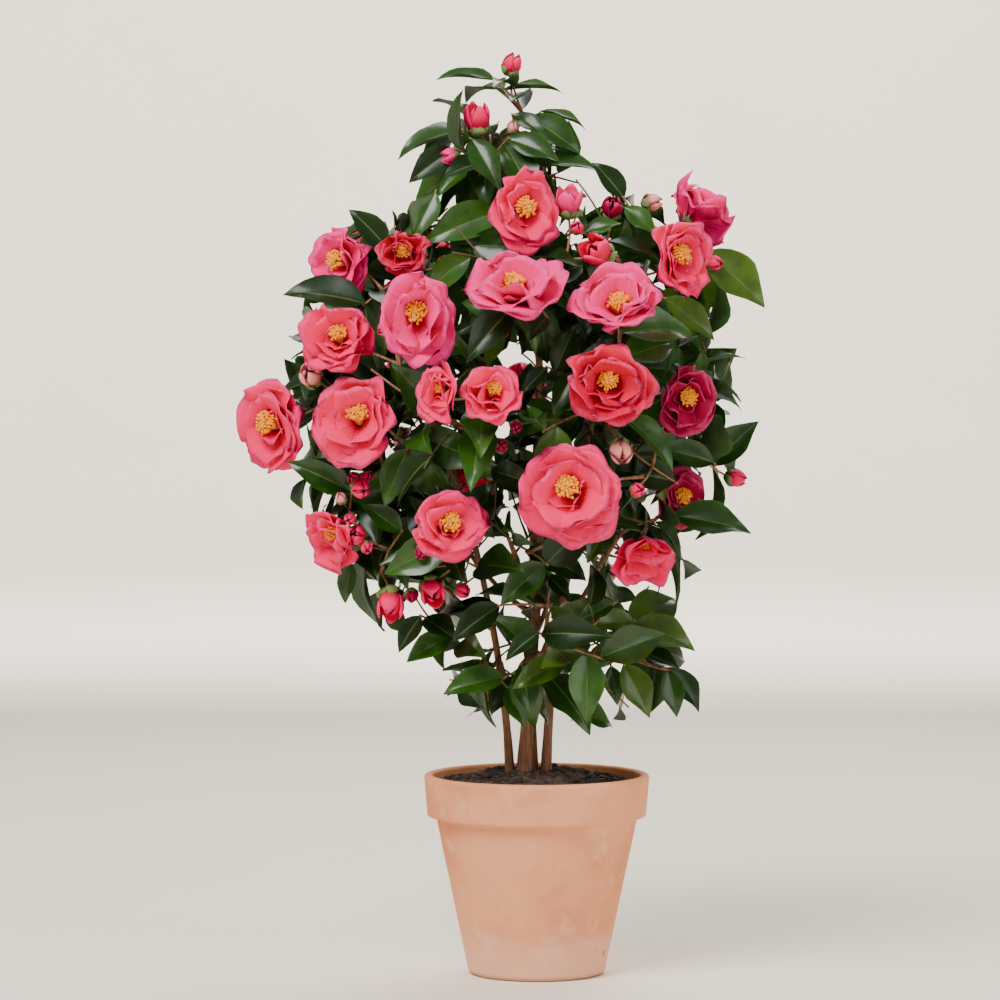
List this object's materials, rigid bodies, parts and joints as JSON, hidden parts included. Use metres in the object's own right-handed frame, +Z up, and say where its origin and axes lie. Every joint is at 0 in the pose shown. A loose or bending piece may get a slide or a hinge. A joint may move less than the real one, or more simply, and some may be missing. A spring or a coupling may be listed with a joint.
{
  "type": "potted flowering shrub",
  "caption": "Camellia shrub in bloom, several slender stems and an open leafy crown with semi-double red-pink flowers and buds, planted in a tapered clay pot with a rim band.",
  "frame": {"origin": "middle of the pot's flat underside, which stands on the ground or table", "axes": "+Z up along the pot's axis towards the top of the crown; the side first seen faces -Y"},
  "size_m": [0.5157, 0.4702, 0.8988],
  "materials": {
    "clay": "unglazed terracotta, matt, slightly chalky and damp near the foot",
    "mix": "dark crumbly peat-based potting mix",
    "bark": "smooth pinkish brown bark with faint rings",
    "foliage": "glossy dark green leaves, coral-red blooms with yellow stamens, pink buds, green twigs"
  },
  "bodies": {
    "root": {"back_stem": "bark", "belly_back_left": "foliage", "belly_back_left_bough": "bark", "belly_back_right": "foliage", "belly_back_right_bough": "bark", "belly_front_left": "foliage", "belly_front_left_bough": "bark", "belly_front_right": "foliage", "belly_front_right_bough": "bark", "belly_left": "foliage", "belly_left_bough": "bark", "belly_right": "foliage", "belly_right_bough": "bark", "crest_top": "foliage", "front_stem": "bark", "hem_back": "foliage", "hem_back_bough": "bark", "hem_front": "foliage", "hem_front_bough": "bark", "hem_left": "foliage", "hem_left_bough": "bark", "hem_right": "foliage", "hem_right_bough": "bark", "left_stem": "bark", "pot": "clay", "potting_mix": "mix", "right_stem": "bark", "shoulder_back": "foliage", "shoulder_back_left": "foliage", "shoulder_back_left_bough": "bark", "shoulder_back_right": "foliage", "shoulder_back_right_bough": "bark", "shoulder_front": "foliage", "shoulder_front_bough": "bark", "shoulder_front_left": "foliage", "shoulder_front_right": "foliage", "skirt_back_left": "foliage", "skirt_back_left_bough": "bark", "skirt_back_right": "foliage", "skirt_back_right_bough": "bark", "skirt_front": "foliage", "skirt_front_bough": "bark", "skirt_left": "foliage", "skirt_left_bough": "bark", "skirt_right": "foliage", "skirt_right_bough": "bark"}
  },
  "joints": []
}
